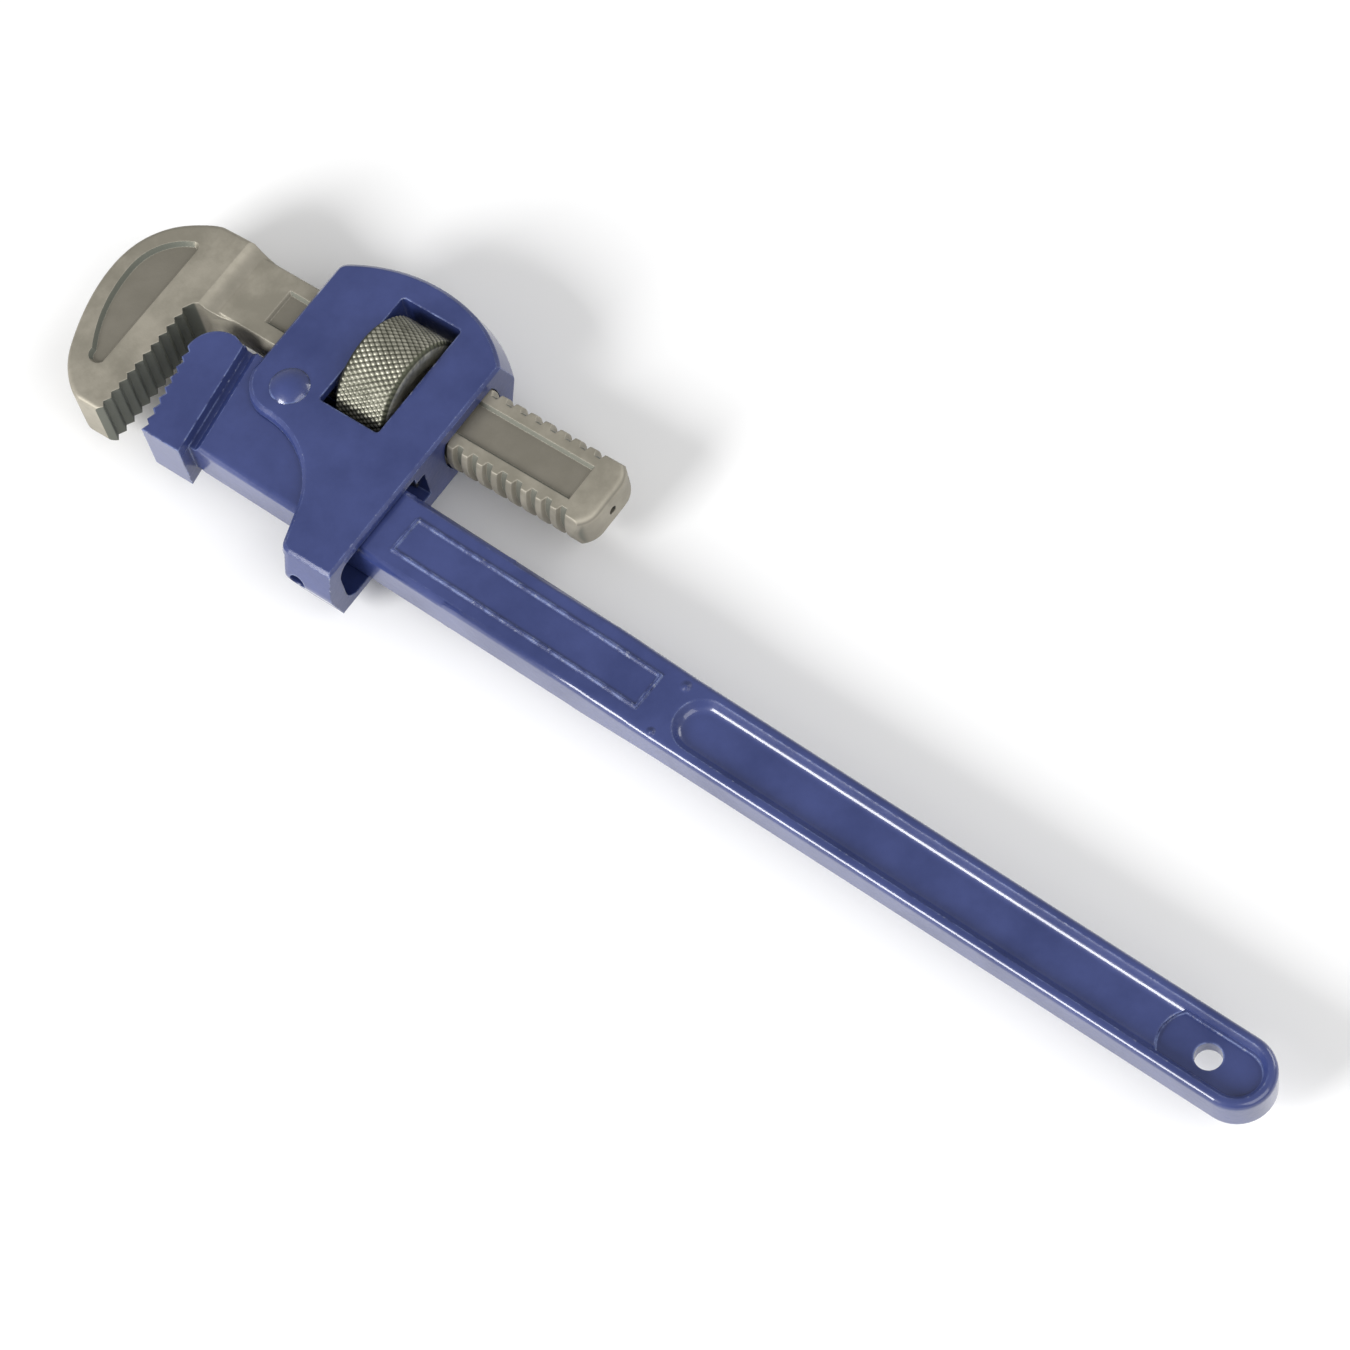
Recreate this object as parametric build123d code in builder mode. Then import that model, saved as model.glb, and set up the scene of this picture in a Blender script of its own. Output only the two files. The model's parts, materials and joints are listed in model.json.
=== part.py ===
"""Pipe wrench of the Stillson pattern, 450 mm, as eight separate pieces.

Row frame: origin at the centre of the hang hole, in the wrench's mid-plane. +Y runs along
the handle to the jaws, +X points to the hook jaw's shank, +Z is square to the broad faces.
The frame, the hook jaw and the nut are drawn in `head`, a plane at the rivet that carries
the small angle at which the frame rests on the handle.
"""

import os
from math import atan, ceil, cos, degrees, pi, radians, sin, sqrt, tan

from build123d import *

os.makedirs("parts", exist_ok=True)

# ---------------------------------------------------------------- driving dimensions, mm

# Handle
hole_radius = 4.1
hole_to_end = 21.0
end_radius = 11.7
waist_y = 190.0
waist_half_width = 12.2
bar_half_width = 13.1
grip_half_thick = 6.9
bar_half_thick = 8.4
thickening = 26.0
handle_edge_round = 2.0

# Long pocket in each face of the handle, and the deeper recess round the hang hole
flange_width = 2.8
pocket_front_gap = 3.0
pocket_depth = 3.0
pocket_draft = 38.0
pocket_floor_round = 3.0
recess_front_y = 15.5
recess_ledge = 1.4
recess_depth = 1.4

# Blank raised border on both faces of the handle
panel_gap = 7.5
panel_length = 94.0
panel_width = 13.1
panel_rib = 0.9
panel_height = 0.5

# Heel jaw, forged in one piece with the handle
jaw_half_thick = 10.2
heel_ahead = 30.0
heel_overhang = 4.7
heel_tooth_angle = 13.5
heel_base_angle = 10.6
heel_depth = 14.9
heel_right = 5.0
tooth_pitch = 3.94
tooth_depth = 1.4
tooth_long_flank = 0.6
heel_teeth = 8
hook_teeth = 11
notch_width = 4.6
notch_floor = 6.0

# Pivot of the frame on the handle
pivot_past_bar = 5.9
pivot_y = 352.3
frame_rest_angle = 1.7
rivet_radius = 3.5
rivet_head_radius = 6.5
rivet_head_height = 2.3
lug_radius = 8.2
lug_flare = 17.0

# Frame, in head coordinates (origin at the rivet)
frame_cheek = 3.15
frame_front = 13.8
frame_rear = -51.6
frame_draft = 15.0
frame_ridge_round = 6.0
frame_edge_break = 0.9
frame_side_bulge = 33.4
frame_corner_round = 3.5
side_radius = 61.0
side_turn_in = 1.9
side_turn_back = 15.0
side_foot_in = 17.0
rivet_boss_x = 1.5
rivet_boss_radius = 15.7
throat_radius = 28.0
lobe_past_bar = 15.7
lobe_slope = 18.5
lobe_round = 7.0
lobe_wall = 6.6
slot_corner_round = 5.0
window_front = -10.6
window_rear = -33.7
window_corner_round = 1.2
spring_slot_half_height = 6.0
spring_slot_depth = 4.1

# Hook jaw
heel_to_shank = 4.2
thread_radius = 13.4
shank_half_thick = 6.9
hook_tooth_line = 46.3
hook_face = 44.6
hook_rise = 32.8
hook_left_x = -38.0
hook_edge_round = 1.6
neck_end = 31.5
crescent_left = -23.5
crescent_right = 24.0
crescent_line = 56.9
crescent_margin = 4.6
crescent_depth = 1.5
recess_draft = 35.0
nose_end = -105.4
nose_round = 9.0
nose_edge_round = 2.5
shank_recess_half_width = 6.6
shank_recess_depth = 1.2
shank_recess_front = 24.2
shank_recess_rear = -95.0
centre_hole_radius = 1.5
centre_hole_depth = 5.0

# Thread on the shank's two narrow edges, and the nut that runs on it
thread_pitch = 5.65
thread_depth = 1.6
groove_bottom_width = 2.1
groove_top_width = 3.5
thread_front = 3.0
nut_radius = 19.8
nut_length = 19.3
nut_rim = 1.3

# Springs
coil_y = -38.4
coil_radius = 3.6
coil_wire_radius = 0.75
coil_turns = 4.5
coil_seat_depth = 1.5
coil_pocket_depth = 3.2
coil_vent_radius = 2.9
leaf_thick = 1.1
leaf_half_width = 4.8
leaf_foot = 17.0
leaf_rivet_from_foot = 7.5
leaf_reach_in = 13.5
leaf_rivet_radius = 2.0
leaf_rivet_head_radius = 3.4
leaf_rivet_head_height = 1.2
leaf_rivet_depth = 7.0

# Clearances
handle_slide_gap = 0.55
handle_rock_gap = 3.1
pivot_running_gap = 0.05
shank_gap = 0.4
nut_side_gap = 1.6
nut_end_gap = 1.8
thread_flank_gap = 0.33
thread_root_gap = 0.3
lug_gap = 0.9
coil_seat_gap = 0.6
coil_pocket_gap = 0.3
leaf_gap = 0.12

# ---------------------------------------------------------------- shared planes and places

through = 80.0
pivot_x = bar_half_width + pivot_past_bar
shank_x = heel_right + heel_to_shank + thread_radius
head = Plane(
    origin=(pivot_x, pivot_y, 0),
    x_dir=(cos(radians(frame_rest_angle)), sin(radians(frame_rest_angle)), 0),
    z_dir=(0, 0, 1),
)
frame_half_thick = bar_half_thick + handle_slide_gap + frame_cheek
handle_far_x = head.to_local_coords(Vector(-bar_half_width, pivot_y + coil_y, 0)).X
handle_near_x = head.to_local_coords(Vector(bar_half_width, pivot_y + frame_rear, 0)).X
lobe_x = handle_far_x - lobe_past_bar


def row_at(y):
    """Plane square to the head's y axis at height y, its x axis along the head's x axis."""
    return Plane(
        origin=head.from_local_coords((0, y, 0)), x_dir=head.x_dir, z_dir=head.y_dir
    )


def across_head(x, y=0.0):
    """Plane square to the head's x axis, its x axis along the head's y axis."""
    return Plane(
        origin=head.from_local_coords((x, y, 0)), x_dir=head.y_dir, z_dir=head.x_dir
    )


def block(x_from, x_to, y_from, y_to):
    """Rectangle in the open sketch, given by its sides."""
    with Locations(((x_from + x_to) / 2, (y_from + y_to) / 2)):
        return Rectangle(x_to - x_from, y_to - y_from)


def dome_middle(radius, height):
    """Point half way out on a spherical dome: its distance from the axis, and its height."""
    sphere = (radius**2 + height**2) / (2 * height)
    return radius / 2, height - sphere + sqrt(sphere**2 - radius**2 / 4)


def saw_teeth(start, angle, count, first_flank, inward):
    """Crests and roots of a row of saw teeth that starts on a crest.

    first_flank is the share of the pitch that the flank after each crest takes;
    inward is 1 with the roots on the left of the row and -1 with the roots on its right.
    """
    run = Vector(cos(radians(angle)), sin(radians(angle)))
    inside = Vector(-run.Y, run.X) * inward
    points = []
    for tooth in range(count):
        crest = Vector(*start) + run * (tooth * tooth_pitch)
        root = crest + run * (tooth_pitch * first_flank) + inside * tooth_depth
        points.append((crest.X, crest.Y))
        points.append((root.X, root.Y))
    last = Vector(*start) + run * (count * tooth_pitch)
    points.append((last.X, last.Y))
    return points


# ---------------------------------------------------------------- handle with its heel jaw

end_y = end_radius - hole_to_end
heel_tip = (-bar_half_width - heel_overhang, pivot_y + heel_ahead)
heel_row = saw_teeth(heel_tip, heel_tooth_angle, heel_teeth, tooth_long_flank, -1)
heel_end = heel_row[-1]
heel_right_x = pivot_x + heel_right
heel_base = (heel_tip[0], heel_tip[1] - heel_depth)
heel_base_right = (
    heel_right_x - 1.2,
    heel_base[1] + (heel_right_x - 1.2 - heel_base[0]) * tan(radians(heel_base_angle)),
)
bar_top_y = heel_base_right[1] + 1.0
panel_y = waist_y + panel_gap + panel_length / 2
pocket_half_width = end_radius - flange_width
pocket_front_y = waist_y - pocket_front_gap - pocket_half_width
pocket_floor_z = grip_half_thick - pocket_depth
recess_half_width = pocket_half_width - recess_ledge
recess_floor_z = pocket_floor_z - recess_depth
notch_plane = Plane(
    origin=(heel_base[0], heel_base[1], 0),
    x_dir=(sin(radians(heel_base_angle)), -cos(radians(heel_base_angle)), 0),
    z_dir=(-cos(radians(heel_base_angle)), -sin(radians(heel_base_angle)), 0),
)
coil_seat_x = handle_far_x + coil_seat_depth
leaf_foot_y = pivot_y - lug_flare - 1.0
leaf_rivet_y = leaf_foot_y - leaf_rivet_from_foot
leaf_seat_share = (leaf_rivet_y - waist_y) / (bar_top_y - waist_y)
leaf_seat_x = waist_half_width + (bar_half_width - waist_half_width) * leaf_seat_share


def bar_side(extra):
    """Outline of the bar seen from its narrow side, grown by extra on each broad face."""
    grip = grip_half_thick + extra
    full = bar_half_thick + extra
    half = [
        (-through, grip),
        (waist_y, grip),
        (waist_y + thickening, full),
        (pivot_y + through, full),
    ]
    return half + [(y, -z) for y, z in reversed(half)]


with BuildPart() as panel_border:
    with BuildSketch():
        with Locations((0, panel_y)):
            Rectangle(panel_width, panel_length)
            Rectangle(
                panel_width - 2 * panel_rib, panel_length - 2 * panel_rib, mode=Mode.SUBTRACT
            )
    extrude(amount=through, both=True)
    with BuildSketch(Plane.YZ):
        Polygon(*bar_side(panel_height), align=None)
    extrude(amount=through, both=True, mode=Mode.INTERSECT)

with BuildPart() as handle:
    # Bar: its plan, then its thickness seen from the side
    with BuildSketch():
        with BuildLine():
            ThreePointArc(
                (end_radius, end_y),
                (waist_half_width, waist_y),
                (bar_half_width, bar_top_y),
            )
            Line((bar_half_width, bar_top_y), (-bar_half_width, bar_top_y))
            ThreePointArc(
                (-bar_half_width, bar_top_y),
                (-waist_half_width, waist_y),
                (-end_radius, end_y),
            )
            ThreePointArc((-end_radius, end_y), (0, -hole_to_end), (end_radius, end_y))
        make_face()
    extrude(amount=through, both=True)
    with BuildSketch(Plane.YZ) as side_view:
        Polygon(*bar_side(0), align=None)
        kinks = side_view.vertices().filter_by_position(Axis.X, 0, pivot_y)
        fillet(kinks, through)
    extrude(amount=through, both=True, mode=Mode.INTERSECT)
    flats = handle.faces().filter_by(lambda f: abs(f.normal_at().Z) > 0.9)
    fillet(flats.edges().filter_by(Axis.X, reverse=True), handle_edge_round)

    # Rivet lug, flaring out of the bar's side and carried on into the heel jaw
    with BuildSketch():
        with Locations((pivot_x, pivot_y)):
            lug = Circle(lug_radius)
        foot = Line((0, pivot_y - lug_flare), (bar_half_width - 2, pivot_y - lug_flare))
        make_hull(lug.edges() + foot.edges())
        Polygon(
            (0, pivot_y),
            (heel_right_x - 0.6, pivot_y),
            (heel_right_x - 0.3, bar_top_y),
            (0, bar_top_y),
            align=None,
        )
    extrude(amount=bar_half_thick, both=True)

    # Heel jaw block with its row of teeth
    with BuildSketch():
        with BuildLine():
            Polyline(*heel_row)
            ThreePointArc(
                heel_end,
                (heel_right_x - 2.8, heel_end[1] - 3.1),
                (heel_right_x, heel_end[1] - 10.5),
            )
            Polyline(
                (heel_right_x, heel_end[1] - 10.5),
                heel_base_right,
                (heel_base[0] + 0.4, heel_base[1]),
                heel_tip,
            )
        make_face()
    extrude(amount=jaw_half_thick, both=True)

    # Notch across both faces between the heel jaw and the bar
    with BuildSketch(notch_plane):
        for side in (1, -1):
            Polygon(
                (0, side * through),
                (0, side * notch_floor),
                (notch_width * 0.5, side * notch_floor),
                (notch_width, side * bar_half_thick),
                (notch_width, side * through),
                align=None,
            )
    extrude(amount=through, both=True, mode=Mode.SUBTRACT)

    # Long pocket with sloping walls and a dished floor, on both faces
    for side in (1, -1):
        with BuildSketch(Plane.XY.offset(side * grip_half_thick)):
            with Locations((0, (pocket_front_y + end_y) / 2)):
                SlotCenterToCenter(
                    pocket_front_y - end_y, 2 * pocket_half_width, rotation=90
                )
        extrude(amount=-side * pocket_depth, taper=pocket_draft, mode=Mode.SUBTRACT)
    pocket_floors = (
        handle.faces()
        .filter_by(Axis.Z)
        .filter_by(lambda f: abs(abs(f.center().Z) - pocket_floor_z) < 0.01)
    )
    fillet(pocket_floors.edges(), pocket_floor_round)

    # Deeper recess round the hang hole, ending in a step that curves round the hole
    for side in (1, -1):
        with BuildSketch(Plane.XY.offset(side * recess_floor_z)):
            with BuildLine():
                Line((recess_half_width, end_y), (recess_half_width, recess_front_y - 3))
                ThreePointArc(
                    (recess_half_width, recess_front_y - 3),
                    (0, recess_front_y),
                    (-recess_half_width, recess_front_y - 3),
                )
                Line((-recess_half_width, recess_front_y - 3), (-recess_half_width, end_y))
                ThreePointArc(
                    (-recess_half_width, end_y),
                    (0, end_y - recess_half_width),
                    (recess_half_width, end_y),
                )
            make_face()
        extrude(amount=side * through, mode=Mode.SUBTRACT)

    # Hang hole and rivet hole
    with Locations((0, 0, 0)):
        Cylinder(hole_radius, through, mode=Mode.SUBTRACT)
    with Locations((pivot_x, pivot_y, 0)):
        Cylinder(rivet_radius + pivot_running_gap, through, mode=Mode.SUBTRACT)

    # Seat of the coil spring and hole of the leaf spring's rivet, in the bar's narrow sides
    with BuildSketch(across_head(coil_seat_x, coil_y)):
        Circle(coil_radius + coil_wire_radius + coil_seat_gap)
    extrude(amount=-2 * coil_seat_depth, mode=Mode.SUBTRACT)
    with BuildSketch(Plane.YZ.offset(leaf_seat_x - leaf_rivet_depth)):
        with Locations((leaf_rivet_y, 0)):
            Circle(leaf_rivet_radius)
    extrude(amount=through, mode=Mode.SUBTRACT)

    add(panel_border.part)

handle.part.label = "handle"
export_step(handle.part, "parts/handle.step")

# ---------------------------------------------------------------- frame

boss_x = rivet_boss_radius + throat_radius
throat_x = rivet_boss_x - boss_x
boss_y = frame_front + frame_half_thick * tan(radians(frame_draft)) - rivet_boss_radius
slope = radians(lobe_slope)
throat_end = (
    throat_x + throat_radius * sin(slope),
    boss_y - throat_radius * cos(slope),
)
lobe_corner_y = throat_end[1] - (throat_end[0] - lobe_x) * tan(slope)
side_mid_y = (frame_front + frame_rear) / 2 + 1.0
side_x = shank_x + frame_side_bulge
side_reach = (frame_front - frame_rear) / 2 + 5.0
side_back = side_radius - sqrt(side_radius**2 - side_reach**2)
side_foot_y = frame_rear - 5.0
cavity_far_x = lobe_x + lobe_wall
cavity_near_x = handle_near_x + handle_rock_gap
cavity_half_z = bar_half_thick + handle_slide_gap
spring_slot_x = cavity_near_x + spring_slot_depth
shank_bore = thread_radius + shank_gap
shank_bore_half_z = shank_half_thick + shank_gap

with BuildPart() as frame:
    # Outside: outline at the mid-plane, drawn in by the draft towards both broad faces
    with BuildSketch(head):
        with BuildLine():
            Line(
                (rivet_boss_x, boss_y + rivet_boss_radius),
                (side_x - side_back, side_mid_y + side_reach),
            )
            side_arc = ThreePointArc(
                (side_x - side_back, side_mid_y + side_reach),
                (side_x, side_mid_y),
                (side_x - side_turn_in, side_mid_y - side_turn_back),
            )
            TangentArc(side_arc @ 1, (side_x - side_foot_in, side_foot_y), tangent=side_arc % 1)
            Polyline(
                (side_x - side_foot_in, side_foot_y),
                (lobe_x, side_foot_y),
                (lobe_x, lobe_corner_y),
                throat_end,
            )
            ThreePointArc(
                throat_end,
                (
                    throat_x + throat_radius * cos(radians(45)),
                    boss_y - throat_radius * sin(radians(45)),
                ),
                (throat_x + throat_radius, boss_y),
            )
            ThreePointArc(
                (throat_x + throat_radius, boss_y),
                (
                    rivet_boss_x - rivet_boss_radius * cos(radians(45)),
                    boss_y + rivet_boss_radius * sin(radians(45)),
                ),
                (rivet_boss_x, boss_y + rivet_boss_radius),
            )
        outline = make_face()
        lobe_tip = outline.vertices().sort_by_distance((lobe_x, lobe_corner_y))[0]
        fillet(lobe_tip, lobe_round)
    extrude(amount=frame_half_thick, taper=frame_draft)
    mirror(about=Plane.XY)
    ridge = frame.edges().filter_by(
        lambda e: abs(e.position_at(0.2).Z) < 0.01 and abs(e.position_at(0.8).Z) < 0.01
    )
    fillet(ridge, frame_ridge_round)
    with BuildSketch(head):
        block(-through, through, frame_rear, frame_front)
    extrude(amount=through, both=True, mode=Mode.INTERSECT)

    # Corner of the flat front face on the shank's side
    front_face = frame.faces().sort_by_distance(
        head.from_local_coords((shank_x, frame_front, 0))
    )[0]
    fillet(
        front_face.edges().filter_by(
            lambda e: head.to_local_coords(e.center()).X > shank_x + thread_radius
            and abs(e.center().Z) < frame_half_thick - 0.1
        ),
        frame_corner_round,
    )

    # Broken outer edges of both broad faces
    broad_faces = frame.faces().filter_by(Axis.Z).filter_by(
        lambda f: abs(f.center().Z) > frame_half_thick - 0.1
    )
    chamfer(broad_faces.edges(), frame_edge_break)

    # Cavity for the handle: a tunnel through the lobe, open ahead of it and round the lug
    with BuildSketch(row_at(frame_rear - 1)):
        tunnel = block(cavity_far_x, cavity_near_x, -cavity_half_z, cavity_half_z)
        fillet(tunnel.vertices().group_by(Axis.X)[0], slot_corner_round)
    extrude(amount=through, mode=Mode.SUBTRACT)
    with BuildSketch(head):
        block(-through, lug_radius + lug_gap, window_rear, frame_front + 1)
    extrude(amount=cavity_half_z, both=True, mode=Mode.SUBTRACT)
    with BuildSketch(row_at(frame_rear - 1)):
        block(
            cavity_near_x - 1, spring_slot_x, -spring_slot_half_height, spring_slot_half_height
        )
    extrude(amount=window_rear - frame_rear + 2, mode=Mode.SUBTRACT)

    # Passage of the hook jaw's shank, and the nut's window
    with BuildSketch(row_at(frame_rear - 1)):
        with Locations((shank_x, 0)):
            Circle(shank_bore)
            Rectangle(2 * through, 2 * shank_bore_half_z, mode=Mode.INTERSECT)
    extrude(amount=through, mode=Mode.SUBTRACT)
    with BuildSketch(head):
        window = block(
            shank_x - nut_radius - nut_side_gap,
            shank_x + nut_radius + nut_side_gap,
            window_rear,
            window_front,
        )
        fillet(window.vertices(), window_corner_round)
    extrude(amount=through, both=True, mode=Mode.SUBTRACT)

    # Blind seat of the coil spring and its vent through the lobe's wall
    with BuildSketch(across_head(cavity_far_x - coil_pocket_depth, coil_y)):
        Circle(coil_radius + coil_wire_radius + coil_pocket_gap)
    extrude(amount=2 * coil_pocket_depth, mode=Mode.SUBTRACT)
    with BuildSketch(across_head(cavity_far_x, coil_y)):
        Circle(coil_vent_radius)
    extrude(amount=-2 * lobe_wall, mode=Mode.SUBTRACT)

    # Rivet hole through both cheeks
    with Locations((pivot_x, pivot_y, 0)):
        Cylinder(rivet_radius, through, mode=Mode.SUBTRACT)

frame.part.label = "frame"
export_step(frame.part, "parts/frame.step")

# ---------------------------------------------------------------- hook jaw

hook_tip_x = hook_left_x + 1.9
teeth_row = saw_teeth(
    (hook_tip_x, hook_tooth_line), 0, hook_teeth, 1 - tooth_long_flank, 1
)
teeth_end = teeth_row[-1]
shank_left = shank_x - thread_radius
shank_right = shank_x + thread_radius
neck_half_width = sqrt(thread_radius**2 - shank_half_thick**2)
crown = (hook_left_x + 42.2, hook_face + hook_rise)
shoulder = (hook_left_x + 16.7, crown[1] - 6.1)
back = (shank_right - 10.9, crown[1] - 6.3)

groove_flank = (groove_top_width - groove_bottom_width) / 2 / thread_depth
lead_angle = degrees(atan(thread_pitch / (2 * pi * thread_radius)))
groove_sweep = 76.0
groove_count = ceil((thread_front - nose_end - nose_round) / thread_pitch)


def groove_half(radius):
    """Half the width of a thread groove at a radius from the shank's axis."""
    return groove_bottom_width / 2 + groove_flank * (radius - thread_radius + thread_depth)


lead = radians(lead_angle)
swing = radians(groove_sweep / 2)
ring_axis = Vector(0, -sin(lead), cos(lead))
first_radius = Vector(cos(swing), -sin(swing) * cos(lead), -sin(swing) * sin(lead))

with BuildPart() as groove:
    inner = thread_radius - thread_depth
    outer_radius = thread_radius + 1.0
    with BuildSketch(
        Plane(origin=(0, 0, 0), x_dir=first_radius, z_dir=first_radius.cross(ring_axis))
    ):
        Polygon(
            (inner, -groove_half(inner)),
            (outer_radius, -groove_half(outer_radius)),
            (outer_radius, groove_half(outer_radius)),
            (inner, groove_half(inner)),
            align=None,
        )
    revolve(axis=Axis((0, 0, 0), ring_axis), revolution_arc=groove_sweep)

with BuildPart() as shank:
    with BuildSketch(row_at(nose_end - 1)):
        with Locations((shank_x, 0)):
            Circle(thread_radius)
            Rectangle(2 * through, 2 * shank_half_thick, mode=Mode.INTERSECT)
    extrude(amount=hook_face - nose_end + 2)
    with BuildSketch(head):
        bar = block(shank_left - 1, shank_right + 1, nose_end, hook_face + 1)
        fillet(bar.vertices().group_by(Axis.Y)[0], nose_round)
    extrude(amount=through, both=True, mode=Mode.INTERSECT)
    nose_edges = shank.faces().filter_by(Axis.Z).edges().filter_by(
        lambda e: head.to_local_coords(e.center()).Y < nose_end + nose_round
    )
    fillet(nose_edges, nose_edge_round)

with BuildSketch() as crescent:
    with BuildLine():
        Line((crescent_left, crescent_line), (crescent_right, crescent_line))
        ThreePointArc(
            (crescent_right, crescent_line),
            (crescent_right + 1.8, crescent_line + 0.9),
            (crescent_right + 1.8, crescent_line + 3.2),
        )
        ThreePointArc(
            (crescent_right + 1.8, crescent_line + 3.2),
            (crescent_right - 5.6, crescent_line + 11.9),
            (crown[0] + 4.0, crown[1] - crescent_margin - 1),
        )
        ThreePointArc(
            (crown[0] + 4.0, crown[1] - crescent_margin - 1),
            (crown[0] - 12.6, crown[1] - crescent_margin - 3.4),
            (crescent_left + 2.0, crescent_line + 6.2),
        )
        ThreePointArc(
            (crescent_left + 2.0, crescent_line + 6.2),
            (crescent_left - 1.6, crescent_line + 1.9),
            (crescent_left, crescent_line),
        )
    make_face()

with BuildPart() as face_recesses:
    with BuildSketch(head.offset(-jaw_half_thick)):
        add(crescent.sketch)
    extrude(amount=crescent_depth, taper=recess_draft)
    with BuildSketch(head.offset(-shank_half_thick)):
        block(
            shank_x - shank_recess_half_width,
            shank_x + shank_recess_half_width,
            shank_recess_rear,
            shank_recess_front,
        )
    extrude(amount=shank_recess_depth, taper=recess_draft)
    mirror(about=Plane.XY)

with BuildPart() as hook_jaw:
    # Head and neck in plan
    with BuildSketch(head):
        with BuildLine():
            Polyline(*teeth_row)
            ThreePointArc(
                teeth_end,
                (shank_left - 0.35, hook_face + 0.2),
                (shank_left, hook_face - 2.0),
            )
            Polyline(
                (shank_left, hook_face - 2.0),
                (shank_x - neck_half_width, neck_end),
                (shank_x + neck_half_width, neck_end),
                (shank_right, hook_face - 1.0),
                (shank_right - 0.4, hook_face + 10.4),
            )
            Spline(
                (shank_right - 0.4, hook_face + 10.4),
                (back[0] + 6.1, back[1] - 6.8),
                back,
                (crown[0] + 12.0, crown[1] - 1.5),
                crown,
                (crown[0] - 12.9, crown[1] - 1.9),
                shoulder,
                (hook_left_x + 6.6, shoulder[1] - 6.0),
                (hook_left_x, shoulder[1] - 15.8),
                tangents=((-0.04, 1), (0, -1)),
                tangent_scalars=(0.6, 0.6),
            )
            Polyline(
                (hook_left_x, shoulder[1] - 15.8),
                (hook_left_x + 0.1, hook_tooth_line + 2.2),
                (hook_tip_x, hook_tooth_line),
            )
        make_face()
    extrude(amount=jaw_half_thick, both=True)
    outer_edges = hook_jaw.faces().filter_by(Axis.Z).edges().filter_by(
        lambda e: head.to_local_coords(e.center()).Y > hook_tooth_line + 2 and e.length > 5
    )
    fillet(outer_edges, hook_edge_round)

    # Cove on both faces from the head down to the shank
    with BuildSketch(across_head(shank_left - 8)):
        for side in (1, -1):
            with BuildLine():
                ThreePointArc(
                    (hook_face, side * jaw_half_thick),
                    (hook_face - 3.6, side * (shank_half_thick + 0.8)),
                    (neck_end, side * shank_half_thick),
                )
                Polyline(
                    (neck_end, side * shank_half_thick),
                    (neck_end - 2, side * through),
                    (hook_face, side * through),
                    (hook_face, side * jaw_half_thick),
                )
            make_face()
    extrude(amount=2 * thread_radius + 16, mode=Mode.SUBTRACT)
    add(shank.part)

    # Blank crescent recess on both faces of the head, and the long recess down the shank
    add(face_recesses.part, mode=Mode.SUBTRACT)

    # Short thread grooves on both narrow edges, half a pitch apart as on one helix
    for edge in (0, 1):
        seats = [
            row_at(thread_front - (turn + edge / 2) * thread_pitch).location
            for turn in range(groove_count)
        ]
        with Locations(*seats):
            add(groove.part.rotate(Axis.Z, 180 * edge).moved(Location((shank_x, 0, 0))),
                mode=Mode.SUBTRACT)

    # Centre-drilled hole in the nose
    with BuildSketch(row_at(nose_end)):
        with Locations((shank_x, 0)):
            Circle(centre_hole_radius)
    extrude(amount=centre_hole_depth, mode=Mode.SUBTRACT)

hook_jaw.part.label = "hook_jaw"
export_step(hook_jaw.part, "parts/hook_jaw.step")

# ---------------------------------------------------------------- adjusting nut

nut_rear = window_rear + nut_end_gap
ridge_start = thread_front - ceil((thread_front - nut_rear) / thread_pitch) * thread_pitch
ridge_length = (ceil(nut_length / thread_pitch) + 1) * thread_pitch
ridge_root = shank_bore + 0.3
ridge_crest = thread_radius - thread_depth + thread_root_gap


def ridge_half(radius):
    """Half the width of the nut's ridge at a radius, thread_flank_gap clear of the groove."""
    return groove_half(radius) - thread_flank_gap


with BuildPart() as ridge_turns:
    with BuildLine() as ridge_path:
        Helix(thread_pitch, ridge_length, shank_bore)
    with BuildSketch(Plane(origin=(shank_bore, 0, 0), x_dir=(1, 0, 0), z_dir=ridge_path.line % 0)):
        Polygon(
            (ridge_crest - shank_bore, -ridge_half(ridge_crest)),
            (ridge_root - shank_bore, -ridge_half(ridge_root)),
            (ridge_root - shank_bore, ridge_half(ridge_root)),
            (ridge_crest - shank_bore, ridge_half(ridge_crest)),
            align=None,
        )
    sweep(path=ridge_path.line, is_frenet=True)

with BuildPart() as adjusting_nut:
    with Locations(row_at(ridge_start).location * Location((shank_x, 0, 0))):
        add(ridge_turns.part)
    with BuildSketch(row_at(nut_rear)):
        with Locations((shank_x, 0)):
            Circle(nut_radius)
    extrude(amount=nut_length, mode=Mode.INTERSECT)
    with BuildSketch(row_at(nut_rear)):
        with Locations((shank_x, 0)):
            Circle(nut_radius)
            Circle(shank_bore, mode=Mode.SUBTRACT)
    extrude(amount=nut_length)
    rims = adjusting_nut.edges().filter_by(
        lambda e: e.geom_type == GeomType.CIRCLE and abs(e.radius - nut_radius) < 0.01
    )
    chamfer(rims, nut_rim)

adjusting_nut.part.label = "adjusting_nut"
export_step(adjusting_nut.part, "parts/adjusting_nut.step")

# ---------------------------------------------------------------- pivot rivet

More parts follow.
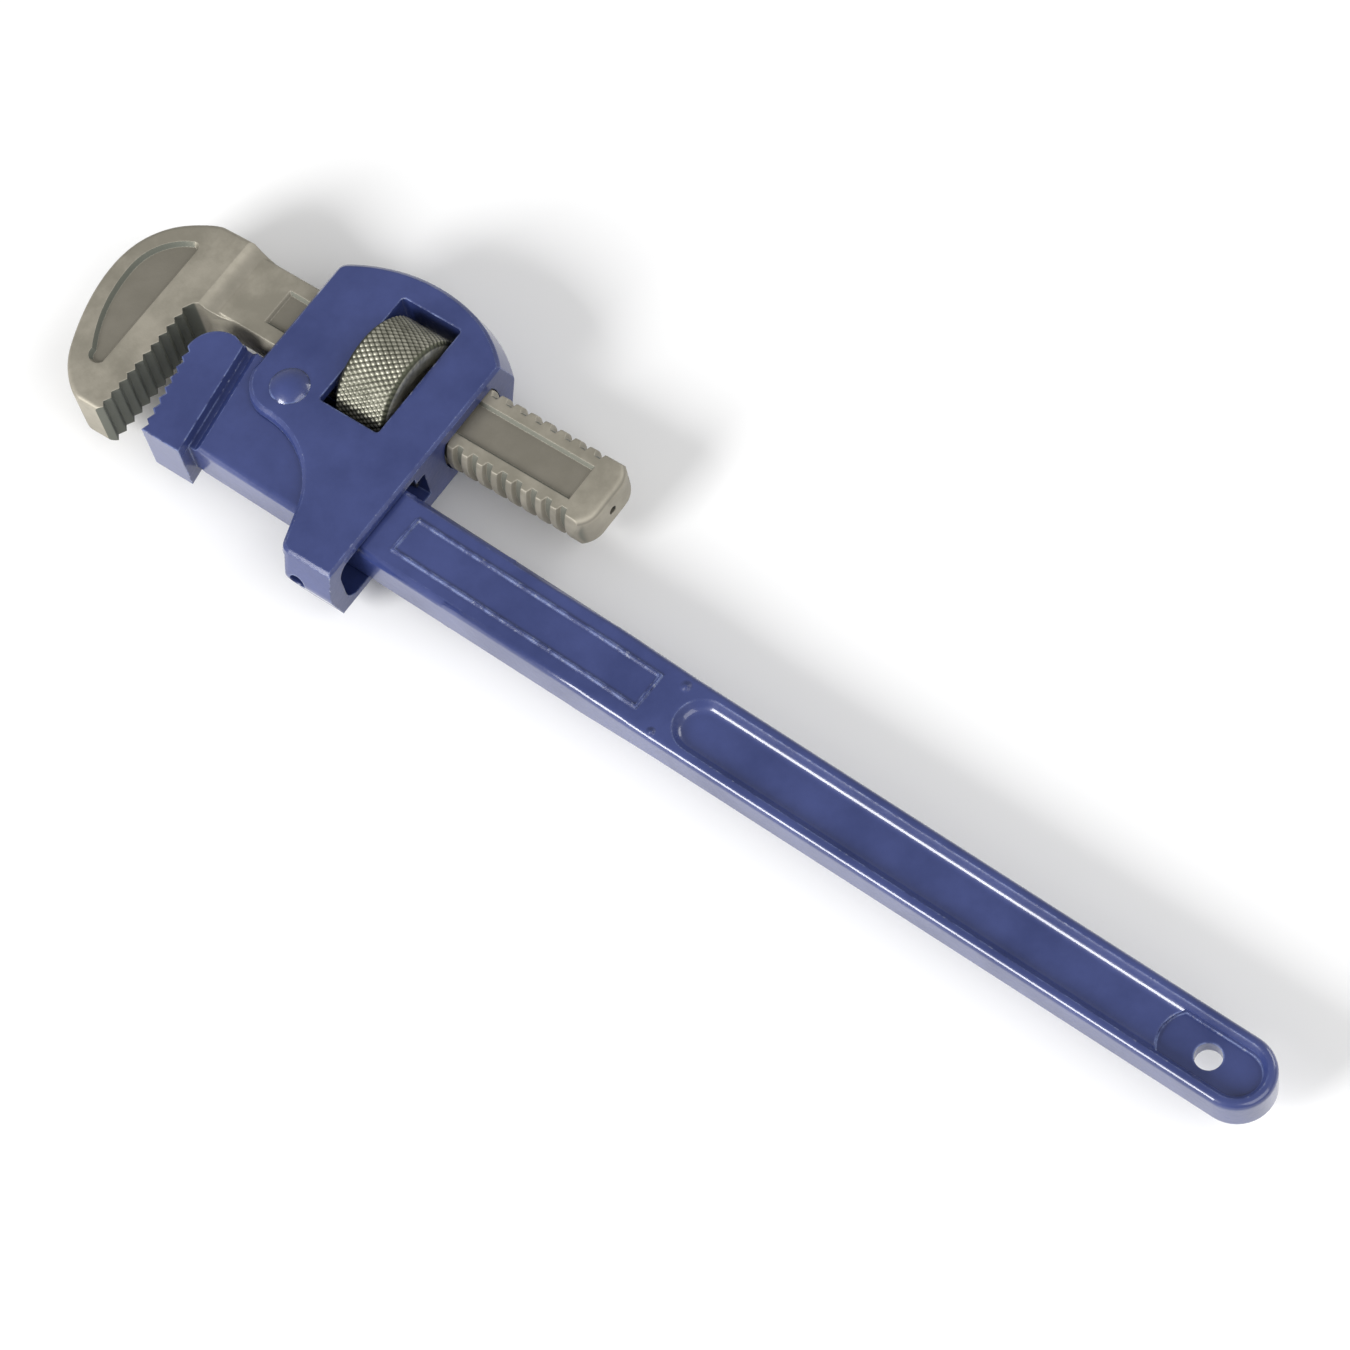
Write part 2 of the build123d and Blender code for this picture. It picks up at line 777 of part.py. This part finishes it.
with BuildPart() as pivot_rivet:
    with BuildSketch(Plane(origin=(pivot_x, pivot_y, 0), x_dir=(1, 0, 0), z_dir=(0, -1, 0))):
        with BuildLine():
            Polyline(
                (0, rivet_head_height + frame_half_thick),
                (0, 0),
                (rivet_radius, 0),
                (rivet_radius, frame_half_thick),
                (rivet_head_radius, frame_half_thick),
            )
            out, up = dome_middle(rivet_head_radius, rivet_head_height)
            ThreePointArc(
                (rivet_head_radius, frame_half_thick),
                (out, frame_half_thick + up),
                (0, frame_half_thick + rivet_head_height),
            )
        make_face()
    revolve(axis=Axis((pivot_x, pivot_y, 0), (0, 0, 1)))
    mirror(about=Plane.XY)

pivot_rivet.part.label = "pivot_rivet"
export_step(pivot_rivet.part, "parts/pivot_rivet.step")

# ---------------------------------------------------------------- springs

coil_from = cavity_far_x - coil_pocket_depth + coil_wire_radius + leaf_gap
coil_to = coil_seat_x - coil_wire_radius - leaf_gap

with BuildPart() as coil:
    with BuildLine() as coil_path:
        Helix((coil_to - coil_from) / coil_turns, coil_to - coil_from, coil_radius)
    with BuildSketch(Plane(origin=(coil_radius, 0, 0), z_dir=coil_path.line % 0)):
        Circle(coil_wire_radius)
    sweep(path=coil_path.line, is_frenet=True)

with BuildPart() as coil_spring:
    with Locations(across_head(coil_from, coil_y).location):
        add(coil.part)

coil_spring.part.label = "coil_spring"
export_step(coil_spring.part, "parts/coil_spring.step")

leaf_x = leaf_seat_x + leaf_thick / 2
leaf_tip = head.from_local_coords(
    (spring_slot_x - leaf_gap - leaf_thick / 2, window_rear - leaf_reach_in, 0)
)

with BuildPart() as leaf_spring:
    with BuildLine() as leaf_path:
        Line((leaf_x, leaf_foot_y), (leaf_x, leaf_foot_y - leaf_foot))
        Spline(
            (leaf_x, leaf_foot_y - leaf_foot),
            (leaf_tip.X, leaf_tip.Y),
            tangents=((0, -1), (0, -1)),
        )
    with BuildSketch(Plane(origin=leaf_path.line @ 0, x_dir=(1, 0, 0), z_dir=(0, -1, 0))):
        Rectangle(leaf_thick, 2 * leaf_half_width)
    sweep(path=leaf_path.line)
    with BuildSketch(Plane.YZ.offset(leaf_seat_x - 1)):
        with Locations((leaf_rivet_y, 0)):
            Circle(leaf_rivet_radius)
    extrude(amount=leaf_thick + 2, mode=Mode.SUBTRACT)

leaf_spring.part.label = "leaf_spring"
export_step(leaf_spring.part, "parts/leaf_spring.step")

with BuildPart() as leaf_spring_rivet:
    with BuildSketch(Plane.XY):
        with BuildLine():
            Polyline(
                (leaf_seat_x + leaf_thick + leaf_rivet_head_height, leaf_rivet_y),
                (leaf_seat_x - leaf_rivet_depth, leaf_rivet_y),
                (leaf_seat_x - leaf_rivet_depth, leaf_rivet_y + leaf_rivet_radius),
                (leaf_seat_x + leaf_thick, leaf_rivet_y + leaf_rivet_radius),
                (leaf_seat_x + leaf_thick, leaf_rivet_y + leaf_rivet_head_radius),
            )
            out, up = dome_middle(leaf_rivet_head_radius, leaf_rivet_head_height)
            ThreePointArc(
                (leaf_seat_x + leaf_thick, leaf_rivet_y + leaf_rivet_head_radius),
                (leaf_seat_x + leaf_thick + up, leaf_rivet_y + out),
                (leaf_seat_x + leaf_thick + leaf_rivet_head_height, leaf_rivet_y),
            )
        make_face()
    revolve(axis=Axis((0, leaf_rivet_y, 0), (1, 0, 0)))

leaf_spring_rivet.part.label = "leaf_spring_rivet"
export_step(leaf_spring_rivet.part, "parts/leaf_spring_rivet.step")
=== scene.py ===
import json
import math

import bpy
from mathutils import Matrix, Vector


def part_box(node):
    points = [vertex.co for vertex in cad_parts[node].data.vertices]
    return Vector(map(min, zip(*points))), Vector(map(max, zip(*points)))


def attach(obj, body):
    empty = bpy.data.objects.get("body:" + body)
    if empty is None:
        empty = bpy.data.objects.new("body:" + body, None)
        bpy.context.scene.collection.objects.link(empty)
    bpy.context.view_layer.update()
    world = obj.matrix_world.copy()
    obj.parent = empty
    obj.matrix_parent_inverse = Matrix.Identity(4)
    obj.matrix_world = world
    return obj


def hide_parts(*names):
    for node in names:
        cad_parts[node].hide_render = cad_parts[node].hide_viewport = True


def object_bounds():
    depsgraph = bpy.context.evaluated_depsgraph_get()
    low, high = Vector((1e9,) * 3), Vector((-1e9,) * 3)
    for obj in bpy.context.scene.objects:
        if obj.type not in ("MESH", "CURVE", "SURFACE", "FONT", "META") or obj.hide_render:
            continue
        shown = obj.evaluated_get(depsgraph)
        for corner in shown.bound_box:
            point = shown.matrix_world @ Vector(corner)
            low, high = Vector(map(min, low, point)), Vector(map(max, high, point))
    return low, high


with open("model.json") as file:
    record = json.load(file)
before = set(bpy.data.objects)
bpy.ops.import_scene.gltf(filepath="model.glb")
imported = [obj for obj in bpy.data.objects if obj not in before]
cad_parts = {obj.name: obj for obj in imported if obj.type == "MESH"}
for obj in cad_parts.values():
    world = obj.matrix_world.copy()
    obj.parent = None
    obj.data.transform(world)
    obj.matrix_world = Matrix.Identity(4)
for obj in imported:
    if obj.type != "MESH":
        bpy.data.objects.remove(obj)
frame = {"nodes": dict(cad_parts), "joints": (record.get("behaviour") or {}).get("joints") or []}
cadLow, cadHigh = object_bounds()
nodes = frame["nodes"]
joints = {joint["name"]: joint for joint in frame["joints"]}
print("frame loaded:", len(nodes), "nodes")

# Directions and places that the pieces share, all from the frame
pivot = Vector(joints["frame_pivot"]["pos_m"])
shankWay = Vector(joints["jaw_slide"]["axis"])
upWay = Vector((0, 0, 1))
acrossWay = shankWay.cross(upWay)
shankAt = Vector(joints["nut_spin"]["pos_m"])


def headPoint(x, y, z=0.0):
    # A place given in millimetres from the rivet, along the frame's own directions
    return pivot + (acrossWay * x + shankWay * y + Vector((0, 0, z))) / 1000


class Wire:
    # A socket that takes part in plain arithmetic
    def __init__(self, shade, socket):
        self.shade = shade
        self.socket = socket

    def maths(self, operation, *values):
        inputs = dict(enumerate((self,) + values))
        return self.shade.node("ShaderNodeMath", {"operation": operation}, inputs)

    def __add__(self, other):
        return self.maths("ADD", other)

    __radd__ = __add__

    def __mul__(self, other):
        return self.maths("MULTIPLY", other)

    __rmul__ = __mul__

    def __sub__(self, other):
        return self.maths("SUBTRACT", other)

    def __rsub__(self, other):
        return self.shade.node("ShaderNodeMath", {"operation": "SUBTRACT"}, {0: other, 1: self})

    def __truediv__(self, other):
        return self.maths("DIVIDE", other)

    def __pow__(self, other):
        return self.maths("POWER", other)

    def between(self, low, high):
        # 0 below low, 1 above high, smooth in between
        inputs = {"Value": self, "From Min": low, "From Max": high}
        return self.shade.node("ShaderNodeMapRange", {"interpolation_type": "SMOOTHSTEP"}, inputs)


class Graph:
    # A node tree in which one method makes every node and joins its inputs
    def __init__(self, tree):
        self.tree = tree

    def node(self, kind, settings=None, inputs=None, output=0):
        made = self.tree.nodes.new(kind)
        for key, value in (settings or {}).items():
            setattr(made, key, value)
        for key, value in (inputs or {}).items():
            self.join(made.inputs[key], value)
        return Wire(self, made.outputs[output])

    def join(self, socket, value):
        if isinstance(value, Wire):
            self.tree.links.new(value.socket, socket)
        else:
            socket.default_value = value


class Shade(Graph):
    def __init__(self, name):
        self.material = bpy.data.materials.new(name)
        self.material.use_nodes = True
        super().__init__(self.material.node_tree)
        self.shader = self.tree.nodes["Principled BSDF"]
        self.place = self.node("ShaderNodeTexCoord", output="Object")
        self.normal = self.node("ShaderNodeNewGeometry", output="Normal")

    def put(self, **values):
        for key, value in values.items():
            self.join(self.shader.inputs[key.replace("_", " ")], value)

    def vector(self, operation, *values, output=0):
        return self.node("ShaderNodeVectorMath", {"operation": operation}, dict(enumerate(values)), output)

    def noise(self, scale, detail=4.0, rough=0.55):
        inputs = {"Vector": self.place, "Scale": scale, "Detail": detail, "Roughness": rough}
        return self.node("ShaderNodeTexNoise", {}, inputs)

    def blend(self, amount, first, second):
        first, second = (part if isinstance(part, Wire) else (*part, 1) for part in (first, second))
        inputs = {"Factor": amount, 6: first, 7: second}
        return self.node("ShaderNodeMix", {"data_type": "RGBA"}, inputs, 2)

    def along(self, way, start):
        # Distance of the surface point from start, measured along way, in metres
        return self.vector("DOT_PRODUCT", self.vector("SUBTRACT", self.place, start), way, output="Value")

    def facing(self, way):
        # How far the surface faces way, from -1 to 1
        return self.vector("DOT_PRODUCT", self.normal, way, output="Value")

    def near(self, spot, reach):
        # 1 at spot, falling to 0 at reach from it
        return 1 - self.vector("DISTANCE", self.place, spot, output="Value").between(0.0, reach)

    def rounded(self, radius):
        return self.node("ShaderNodeBevel", {"samples": 6}, {"Radius": radius})

    def edges(self, rounded, low, high):
        # 1 where the rounded normal leaves the true one, so along the edges
        return (1 - self.vector("DOT_PRODUCT", self.normal, rounded, output="Value")).between(low, high)

    def bump(self, height, distance, strength=1.0, normal=None):
        inputs = {"Height": height, "Distance": distance, "Strength": strength}
        if normal:
            inputs["Normal"] = normal
        return self.node("ShaderNodeBump", {}, inputs)


paintLook = {
    "deep": (0.022, 0.034, 0.125),
    "light": (0.036, 0.052, 0.175),
    # lighter blue of the painted highlight along the edges
    "edgeHighlight": (0.17, 0.22, 0.44),
    "fleck": (0.30, 0.33, 0.45),
    "roughness": 0.27,
    "edge": 0.0011,
    "lumps": 210,
    "lumpHeight": 0.0005,
    "peel": 800,
    "peelHeight": 0.00012,
    "drips": (((0.0078, 0.1899, 0.0069), 0.0022), ((-0.0098, 0.1895, 0.0069), 0.0018)),
}


def makePaint(look):
    shade = Shade("bluePaint")
    cloud = shade.noise(35, 5, 0.6)
    lumps = shade.noise(look["lumps"], 4, 0.6)
    peel = shade.noise(look["peel"], 2, 0.5)
    rounded = shade.rounded(look["edge"])
    edge = shade.edges(rounded, 0.01, 0.20)
    body = shade.blend(cloud.between(0.3, 0.75), look["deep"], look["light"])
    edgeHighlightMask = edge * lumps.between(0.38, 0.60)  # painted highlight: lighter blue along the edges, broken into runs
    highlighted = shade.blend(edgeHighlightMask, body, look["edgeHighlight"])
    flecks = shade.noise(650, 2, 0.4).between(0.62, 0.68) * edge
    drip = sum(shade.near(Vector(spot), reach) for spot, reach in look["drips"])
    shade.put(
        # body colour with the painted edge highlight, then dust flecks on the edges
        Base_Color=shade.blend(flecks, highlighted, look["fleck"]),
        Roughness=look["roughness"] + 0.16 * cloud,
        Coat_Weight=0.55 + 0.35 * cloud.between(0.2, 0.6),
        Coat_Roughness=0.11,
        Specular_IOR_Level=0.35,
    )
    wavy = shade.bump(lumps * (0.25 + 1.2 * edge), look["lumpHeight"], 0.7, rounded)
    dripped = shade.bump(drip, 0.0011, 0.9, wavy)
    shade.put(Normal=shade.bump(peel, look["peelHeight"], 0.4, dripped))
    return shade.material


steelLook = {
    "pale": (0.40, 0.37, 0.305),
    "grey": (0.28, 0.26, 0.21),
    # dark ground steel of the teeth, also used as painted shade on the teeth faces and in the thread roots
    "tooth": (0.115, 0.125, 0.105),
    # painted shade on the sunk faces
    "recessShade": (0.15, 0.14, 0.115),
    "bright": (0.56, 0.53, 0.45),
    "roughness": 0.44,
    "metallic": 0.55,
    "shankHalf": 0.0069,
    "headHalf": 0.0102,
    "threadRadius": 0.0134,
    "toothLine": 0.0452,
    "toothFade": 0.0006,
}


def makeJawSteel(look):
    shade = Shade("jawSteel")
    cloud = shade.noise(60, 6, 0.62)
    grain = shade.noise(1500, 2, 0.6)
    rounded = shade.rounded(0.0006)
    sideways = shade.along(acrossWay, shankAt)
    ahead = shade.along(shankWay, pivot)
    height = shade.along(upWay, pivot).maths("ABSOLUTE")
    radius = (sideways * sideways + height * height) ** 0.5
    body = shade.blend(cloud.between(0.35, 0.7), look["grey"], look["pale"])

    # Darker ground steel on the teeth, with painted shade on their faces between the jaws; painted shade on
    # the sunk faces and in the roots of the thread
    toothed = shade.facing(-shankWay).between(0.15, 0.45) * (
        ahead.between(look["toothLine"], look["toothLine"] + look["toothFade"])
    )
    onShank = 1 - ahead.between(0.024, 0.030)
    face = look["shankHalf"] + (look["headHalf"] - look["shankHalf"]) * ahead.between(0.036, 0.046)
    sunk = (face - height).between(0.0003, 0.0012) * shade.facing(upWay).maths("ABSOLUTE").between(0.3, 0.6)
    root = (look["threadRadius"] - radius).between(0.0004, 0.0014) * (
        shade.facing(acrossWay).maths("ABSOLUTE").between(0.55, 0.8) * onShank
    )
    darkAndShaded = (toothed * 0.9).maths("MAXIMUM", root * 0.75)
    # painted shade on the sunk faces
    recessShaded = shade.blend(sunk * (0.25 + 0.6 * cloud), body, look["recessShade"])
    worn = shade.blend(shade.edges(rounded, 0.02, 0.25) * 0.5, recessShaded, look["bright"])
    shade.put(
        # teeth darker: ground steel plus painted shade; thread roots: painted shade
        Base_Color=shade.blend(darkAndShaded, worn, look["tooth"]),
        Metallic=look["metallic"],
        Roughness=look["roughness"] + 0.2 * cloud + 0.1 * darkAndShaded,
    )
    lumps = shade.bump(cloud, 0.0006, 0.4, rounded)
    shade.put(Normal=shade.bump(grain, 0.00008, 0.4, lumps))
    return shade.material


nutLook = {
    "crest": (0.26, 0.255, 0.205),
    "bright": (0.46, 0.45, 0.37),
    # dark painted shade in the knurl roots
    "root": (0.070, 0.073, 0.05),
    "roughness": 0.36,
    "metallic": 0.8,
    "knurlDepth": 0.00055,
    "diamondsRound": 62,
    "diamondsAcross": 6,
    "turnSteps": 496,
    "outerSteps": 60,
    "boreSteps": 56,
}


def makeNutSteel(look, outerRadius):
    shade = Shade("nutSteel")
    sideways = shade.along(acrossWay, shankAt)
    upwards = shade.along(upWay, shankAt)
    radius = (sideways * sideways + upwards * upwards) ** 0.5
    high = radius.between(outerRadius - look["knurlDepth"] * 1.05, outerRadius - 0.00008)
    cloud = shade.noise(220, 4, 0.6)
    face = (0.0185 - radius).between(-0.0002, 0.0004)
    crest = shade.blend(cloud.between(0.3, 0.7), look["crest"], look["bright"])
    shade.put(
        # painted shade: knurl roots dark, crests and side faces in the steel colour
        Base_Color=shade.blend((high + face).maths("MINIMUM", 1.0), look["root"], crest),
        Metallic=look["metallic"],
        Roughness=look["roughness"] + 0.2 * cloud,
    )
    shade.put(Normal=shade.bump(cloud, 0.0002, 0.3))
    return shade.material


springLook = {"dark": (0.05, 0.055, 0.07), "pale": (0.16, 0.16, 0.17), "roughness": 0.3}


def makeSpringSteel(look):
    shade = Shade("springSteel")
    cloud = shade.noise(300, 4, 0.6)
    shade.put(
        Base_Color=shade.blend(cloud, look["dark"], look["pale"]),
        Metallic=0.9,
        Roughness=look["roughness"] + 0.2 * cloud,
    )
    shade.put(Normal=shade.bump(cloud, 0.0001, 0.3))
    return shade.material


class Tree(Graph):
    # A Geometry Nodes tree with named inputs
    def __init__(self, name, inputs):
        super().__init__(bpy.data.node_groups.new(name, "GeometryNodeTree"))
        face = self.tree.interface
        face.new_socket("Geometry", in_out="INPUT", socket_type="NodeSocketGeometry")
        self.keys = {}
        for label in inputs:
            item = face.new_socket(label, in_out="INPUT", socket_type="NodeSocketFloat")
            self.keys[label] = item.identifier
        face.new_socket("Geometry", in_out="OUTPUT", socket_type="NodeSocketGeometry")
        self.given = self.tree.nodes.new("NodeGroupInput")
        self.result = self.tree.nodes.new("NodeGroupOutput")

    def value(self, label):
        return Wire(self, self.given.outputs[label])

    def finish(self, geometry, material):
        real = self.node("GeometryNodeRealizeInstances", {}, {"Geometry": geometry})
        painted = self.node("GeometryNodeSetMaterial", {}, {"Geometry": real, "Material": material})
        self.tree.links.new(painted.socket, self.result.inputs[0])


def makeRing(look, size):
    # Ring round +Z at the origin: its section is a closed loop with fine steps on both bores
    half, chamfer = size["width"] / 2, size["rim"]
    section = [(size["outer"] - chamfer, -half), (size["outer"], -half + chamfer)]
    span = 2 * (half - chamfer)
    for step in range(1, look["outerSteps"]):
        section.append((size["outer"], -half + chamfer + span * step / look["outerSteps"]))
    section += [(size["outer"], half - chamfer), (size["outer"] - chamfer, half)]
    for step in range(look["boreSteps"] + 1):
        section.append((size["bore"], half - 2 * half * step / look["boreSteps"]))
    turns, rows = look["turnSteps"], len(section)
    points, faces = [], []
    for turn in range(turns):
        angle = 2 * math.pi * turn / turns
        for radius, along in section:
            points.append((radius * math.cos(angle), radius * math.sin(angle), along))
        nextTurn = (turn + 1) % turns
        for row in range(rows):
            nextRow = (row + 1) % rows
            faces.append(
                (turn * rows + row, nextTurn * rows + row, nextTurn * rows + nextRow, turn * rows + nextRow)
            )
    mesh = bpy.data.meshes.new("nutRing")
    mesh.from_pydata(points, [], faces)
    ring = bpy.data.objects.new("nutRing", mesh)
    bpy.context.scene.collection.objects.link(ring)
    return ring


def makeKnurlTree(values, material):
    tree = Tree("knurlAndThread", values)
    at = tree.node("GeometryNodeInputPosition")
    x, y, z = (tree.node("ShaderNodeSeparateXYZ", {}, {0: at}, axis) for axis in range(3))
    radius = (x * x + y * y) ** 0.5
    part = y.maths("ARCTAN2", x) / (2 * math.pi)

    # Diamonds: two crossing families of rounded ridges
    turn = part * tree.value("Diamonds Round")
    across = z / (2 * tree.value("Half Knurled Width")) * tree.value("Diamonds Across")
    first = ((turn + across) * math.pi).maths("SINE")
    second = ((turn - across) * math.pi).maths("SINE")
    bead = (first * second).maths("ABSOLUTE") ** 0.7
    knurled = radius.maths("GREATER_THAN", tree.value("Outer Radius") - 0.0001)
    sink = knurled * (1 - bead) * tree.value("Knurl Depth")

    # Thread: a trapezium ridge that climbs one pitch in each turn
    climb = (z - tree.value("Thread Start")) / tree.value("Thread Pitch") - part
    off = (climb + 100.0).maths("PINGPONG", 0.5) * tree.value("Thread Pitch")
    slope = (tree.value("Ridge Foot") - off) / (tree.value("Ridge Foot") - tree.value("Ridge Crest"))
    ridge = slope.maths("MAXIMUM", 0.0).maths("MINIMUM", 1.0)
    inBore = radius.maths("LESS_THAN", tree.value("Bore Radius") + 0.0001)
    scale = (radius - sink - inBore * ridge * tree.value("Ridge Height")) / radius
    spot = tree.node("ShaderNodeCombineXYZ", {}, {0: x * scale, 1: y * scale, 2: z})
    moved = tree.node(
        "GeometryNodeSetPosition", {}, {"Geometry": tree.value("Geometry"), "Position": spot}
    )
    tree.finish(moved, material)
    return tree


def applyTree(obj, tree, values):
    change = obj.modifiers.new(tree.tree.name, "NODES")
    change.node_group = tree.tree
    for label, value in values.items():
        change[tree.keys[label]] = value
    graph = bpy.context.evaluated_depsgraph_get()
    mesh = bpy.data.meshes.new_from_object(obj.evaluated_get(graph))
    obj.modifiers.clear()
    obj.data = mesh
    return obj


def turnedTo(mesh, xWay, zWay, origin):
    yWay = zWay.cross(xWay)
    turn = Matrix((xWay, yWay, zWay)).transposed().to_4x4()
    mesh.transform(Matrix.Translation(origin) @ turn)


nutLow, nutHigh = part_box("adjusting_nut")
nutSize = {
    "outer": (nutHigh[2] - nutLow[2]) / 2,
    "width": 0.0193,
    "rim": 0.0013,
    "bore": 0.0138,
    "threadPitch": 0.00565,
    "threadAhead": 0.003,
    "ridgeHeight": 0.0017,
    "ridgeCrest": 0.00083,
    "ridgeFoot": 0.0016,
}

nutCentre = (Vector(nutLow) + Vector(nutHigh)) / 2
nutCentre = shankAt + shankWay * (nutCentre - shankAt).dot(shankWay)
threadFirst = (pivot - nutCentre).dot(shankWay) + nutSize["threadAhead"]
nutSteel = makeNutSteel(nutLook, nutSize["outer"])
nutValues = {
    "Outer Radius": nutSize["outer"],
    "Knurl Depth": nutLook["knurlDepth"],
    "Half Knurled Width": nutSize["width"] / 2 - nutSize["rim"],
    "Diamonds Round": float(nutLook["diamondsRound"]),
    "Diamonds Across": float(nutLook["diamondsAcross"]),
    "Bore Radius": nutSize["bore"],
    "Ridge Height": nutSize["ridgeHeight"],
    "Ridge Crest": nutSize["ridgeCrest"],
    "Ridge Foot": nutSize["ridgeFoot"],
    "Thread Pitch": nutSize["threadPitch"],
    "Thread Start": threadFirst,
}
nut = applyTree(makeRing(nutLook, nutSize), makeKnurlTree(nutValues, nutSteel), nutValues)
turnedTo(nut.data, acrossWay, shankWay, nutCentre)
nut.name = "knurledNut"
for polygon in nut.data.polygons:
    polygon.use_smooth = True
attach(nut, "nut_body")
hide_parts("adjusting_nut")
print("nut made:", len(nut.data.polygons), "faces")


paint = makePaint(paintLook)
jawSteel = makeJawSteel(steelLook)
springSteel = makeSpringSteel(springLook)
finishes = {
    "handle": paint,
    "frame": paint,
    "pivot_rivet": paint,
    "hook_jaw": jawSteel,
    "coil_spring": springSteel,
    "leaf_spring": springSteel,
    "leaf_spring_rivet": springSteel,
}
for name, finish in finishes.items():
    for place in nodes[name].material_slots:
        place.material = finish
print("finishes set")


stageLook = {
    "floorSize": 6.0,
    "floorColour": (0.90, 0.90, 0.90),
    "skyStrength": 0.42,
    "lamps": {
        "key": ((-1.35, 0.6, 0.85), 0.7, 30.0),
        "fill": ((-0.1, -1.2, 1.3), 1.4, 17.0),
        "rim": ((1.2, -0.3, 0.6), 0.6, 5.0),
    },
}


def makeFloor(look):
    bpy.ops.mesh.primitive_plane_add(size=look["floorSize"])
    floor = bpy.context.object
    floor.name = "floor"
    floor.data.transform(Matrix.Translation((0, 0, cadLow[2])))
    shade = Shade("paleFloor")
    grain = shade.noise(3, 2, 0.5)
    dull = tuple(0.985 * part for part in look["floorColour"])
    shade.put(Base_Color=shade.blend(grain, dull, look["floorColour"]), Roughness=0.9)
    floor.data.materials.append(shade.material)


def makeLamp(name, where, target, size, power):
    data = bpy.data.lights.new(name, "AREA")
    data.shape = "RECTANGLE"
    data.size = data.size_y = size
    data.energy = power
    lamp = bpy.data.objects.new(name, data)
    bpy.context.scene.collection.objects.link(lamp)
    lamp.location = where
    lamp.rotation_euler = (Vector(target) - Vector(where)).to_track_quat("-Z", "Y").to_euler()


def makeWorld(look):
    world = bpy.data.worlds.new("studio")
    bpy.context.scene.world = world
    world.use_nodes = True
    background = world.node_tree.nodes["Background"]
    background.inputs["Color"].default_value = (1, 1, 1, 1)
    background.inputs["Strength"].default_value = look["skyStrength"]


cameraLook = {
    "sensor": 36.0,
    "lens": 117.33,
    "place": (-0.36837, -0.279565, 1.146907),
    "right": (0.60736, -0.784458, -0.125461),
    "up": (0.738736, 0.499606, 0.452397),
}


def makeCamera(look):
    data = bpy.data.cameras.new("camera")
    data.sensor_width = look["sensor"]
    data.lens = look["lens"]
    data.clip_start, data.clip_end = 0.01, 50
    camera = bpy.data.objects.new("camera", data)
    bpy.context.scene.collection.objects.link(camera)
    right = Vector(look["right"]).normalized()
    back = right.cross(Vector(look["up"])).normalized()
    turn = Matrix((right, back.cross(right), back)).transposed().to_4x4()
    camera.matrix_world = Matrix.Translation(look["place"]) @ turn
    bpy.context.scene.camera = camera


makeFloor(stageLook)
makeWorld(stageLook)
middle = (Vector(cadLow) + Vector(cadHigh)) / 2
for name, (where, size, power) in stageLook["lamps"].items():
    makeLamp(name, where, middle, size, power)
makeCamera(cameraLook)
bpy.context.scene.view_settings.view_transform = "Standard"
print("stage set")
